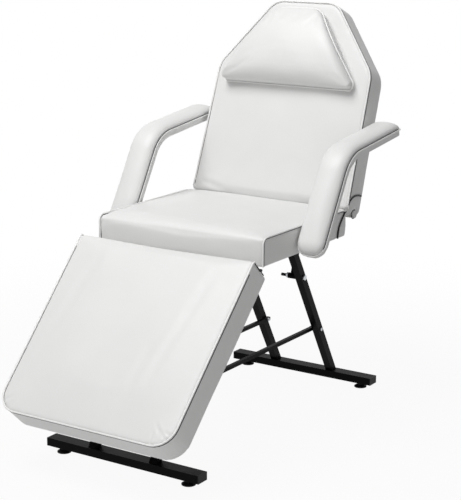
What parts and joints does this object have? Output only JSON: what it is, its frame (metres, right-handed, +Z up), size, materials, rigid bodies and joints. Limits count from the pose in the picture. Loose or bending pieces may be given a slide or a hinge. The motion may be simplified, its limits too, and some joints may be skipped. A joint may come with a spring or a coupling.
{
  "type": "beauty bed",
  "caption": "Padded treatment bed chair with a reclining back, a tilting leg rest, a head pillow and pull-out armrests on a slim steel stand.",
  "frame": {"origin": "on the floor, under the middle of the bed as it stands with its back up and its leg rest down", "axes": "+X across the bed to the right of someone facing its foot end, -Y towards the foot end, +Z up"},
  "size_m": [0.794, 1.3036, 1.2862],
  "materials": {
    "white_vinyl": "satin coated vinyl",
    "plywood": "raw plywood",
    "black_steel": "satin powder coat",
    "zinc_steel": "bright zinc plate",
    "black_plastic": "moulded"
  },
  "bodies": {
    "stand": {"front_floor_bar": "black_steel", "rear_floor_bar": "black_steel", "floor_bar_end_caps": "black_plastic", "foot_weld_nuts": "zinc_steel", "front_leg_left": "black_steel", "front_leg_right": "black_steel", "rear_leg_left": "black_steel", "rear_leg_right": "black_steel", "tie_rod_left": "black_steel", "tie_rod_right": "black_steel", "tie_rod_bolts": "zinc_steel", "seat_rails": "black_steel", "seat_front_tube": "black_steel", "seat_cross_tubes": "black_steel", "seat_cushion": "white_vinyl", "seat_board": "plywood", "armrest_sockets": "black_steel", "back_hinge_plates": "black_steel", "back_hinge_bolts": "zinc_steel", "leg_rest_hinge_plates": "black_steel", "leg_rest_hinge_bolts": "zinc_steel", "leg_strut_seat_lugs": "black_steel", "leg_strut_seat_bolt": "zinc_steel", "back_strut_leg_bolts": "zinc_steel"},
    "back": {"back_hinge_lugs": "black_steel", "back_rails": "black_steel", "back_bottom_tubes": "black_steel", "back_bottom_tube_caps": "black_plastic", "back_strut_top_bolts": "zinc_steel", "back_cross_tubes": "black_steel", "back_cushion": "white_vinyl", "back_board": "plywood"},
    "leg_rest": {"leg_rest_hinge_lugs": "black_steel", "leg_rest_rails": "black_steel", "leg_rest_cross_tubes": "black_steel", "leg_strut_rest_lugs": "black_steel", "leg_strut_rest_bolt": "zinc_steel", "leg_rest_cushion": "white_vinyl", "leg_rest_board": "plywood"},
    "back_strut_tubes": {"back_strut_tube_left": "black_steel", "back_strut_tube_right": "black_steel"},
    "back_strut_rods": {"back_strut_rod_left": "zinc_steel", "back_strut_rod_right": "zinc_steel"},
    "leg_strut_tube": {"leg_strut_tube": "black_steel"},
    "leg_strut_rod": {"leg_strut_rod": "zinc_steel"},
    "back_strut_knob_left": {"back_strut_knob_left": "black_plastic"},
    "back_strut_knob_right": {"back_strut_knob_right": "black_plastic"},
    "leg_strut_knob": {"leg_strut_knob": "black_plastic"},
    "head_pillow": {"head_pillow": "white_vinyl"},
    "armrest_left": {"armrest_pad_left": "white_vinyl", "armrest_board_left": "plywood", "armrest_bracket_left": "black_steel"},
    "armrest_right": {"armrest_pad_right": "white_vinyl", "armrest_board_right": "plywood", "armrest_bracket_right": "black_steel"},
    "foot_front_left": {"foot_front_left": "black_plastic"},
    "foot_front_right": {"foot_front_right": "black_plastic"},
    "foot_rear_left": {"foot_rear_left": "black_plastic"},
    "foot_rear_right": {"foot_rear_right": "black_plastic"}
  },
  "joints": [
    {"name": "back_hinge", "type": "hinge", "parent": "stand", "child": "back", "pos_m": [0, 0.35, 0.6555], "axis": [1, 0, 0], "range_deg": [-69.4, 5.6]},
    {"name": "leg_rest_hinge", "type": "hinge", "parent": "stand", "child": "leg_rest", "pos_m": [0, -0.1468, 0.5735], "axis": [1, 0, 0], "range_deg": [-46.25, 10]},
    {"name": "back_strut_tube_swing", "type": "hinge", "parent": "stand", "child": "back_strut_tubes", "pos_m": [0, 0.37175, 0.415], "axis": [1, 0, 0], "range_deg": [-34.7, 2.8]},
    {"name": "back_strut_rod_swing", "type": "hinge", "parent": "back", "child": "back_strut_rods", "pos_m": [0, 0.50869, 0.83752], "axis": [1, 0, 0], "range_deg": [-2.8, 34.7]},
    {"name": "leg_strut_tube_swing", "type": "hinge", "parent": "stand", "child": "leg_strut_tube", "pos_m": [0, 0.036, 0.469], "axis": [1, 0, 0], "range_deg": [-23.12, 5]},
    {"name": "leg_strut_rod_swing", "type": "hinge", "parent": "leg_rest", "child": "leg_strut_rod", "pos_m": [0, -0.26256, 0.39762], "axis": [1, 0, 0], "range_deg": [-5, 23.12]},
    {"name": "back_strut_knob_left_turn", "type": "hinge", "parent": "back_strut_tubes", "child": "back_strut_knob_left", "pos_m": [-0.081, 0.44241, 0.63302], "axis": [1, 0, 0], "range_deg": [-180, 180]},
    {"name": "back_strut_knob_right_turn", "type": "hinge", "parent": "back_strut_tubes", "child": "back_strut_knob_right", "pos_m": [0.081, 0.44241, 0.63302], "axis": [1, 0, 0], "range_deg": [-180, 180]},
    {"name": "leg_strut_knob_turn", "type": "hinge", "parent": "leg_strut_tube", "child": "leg_strut_knob", "pos_m": [0, -0.20976, 0.41024], "axis": [1, 0, 0], "range_deg": [-180, 180]},
    {"name": "head_pillow_lift_off", "type": "slide", "parent": "back", "child": "head_pillow", "axis": [0, -0.9361, 0.3518], "range_m": [0, 0.12]},
    {"name": "armrest_left_pull_out", "type": "slide", "parent": "stand", "child": "armrest_left", "axis": [-1, 0, 0], "range_m": [0, 0.125]},
    {"name": "armrest_right_pull_out", "type": "slide", "parent": "stand", "child": "armrest_right", "axis": [1, 0, 0], "range_m": [0, 0.125]},
    {"name": "foot_front_left_level", "type": "slide", "parent": "stand", "child": "foot_front_left", "axis": [0, 0, -1], "range_m": [0, 0.008]},
    {"name": "foot_front_right_level", "type": "slide", "parent": "stand", "child": "foot_front_right", "axis": [0, 0, -1], "range_m": [0, 0.008]},
    {"name": "foot_rear_left_level", "type": "slide", "parent": "stand", "child": "foot_rear_left", "axis": [0, 0, -1], "range_m": [0, 0.008]},
    {"name": "foot_rear_right_level", "type": "slide", "parent": "stand", "child": "foot_rear_right", "axis": [0, 0, -1], "range_m": [0, 0.008]}
  ],
  "couplings": [
    {"joint": "back_strut_tube_swing", "follows": "back_hinge", "ratio": 0.5},
    {"joint": "back_strut_rod_swing", "follows": "back_hinge", "ratio": -0.5},
    {"joint": "leg_strut_tube_swing", "follows": "leg_rest_hinge", "ratio": 0.5},
    {"joint": "leg_strut_rod_swing", "follows": "leg_rest_hinge", "ratio": -0.5}
  ]
}
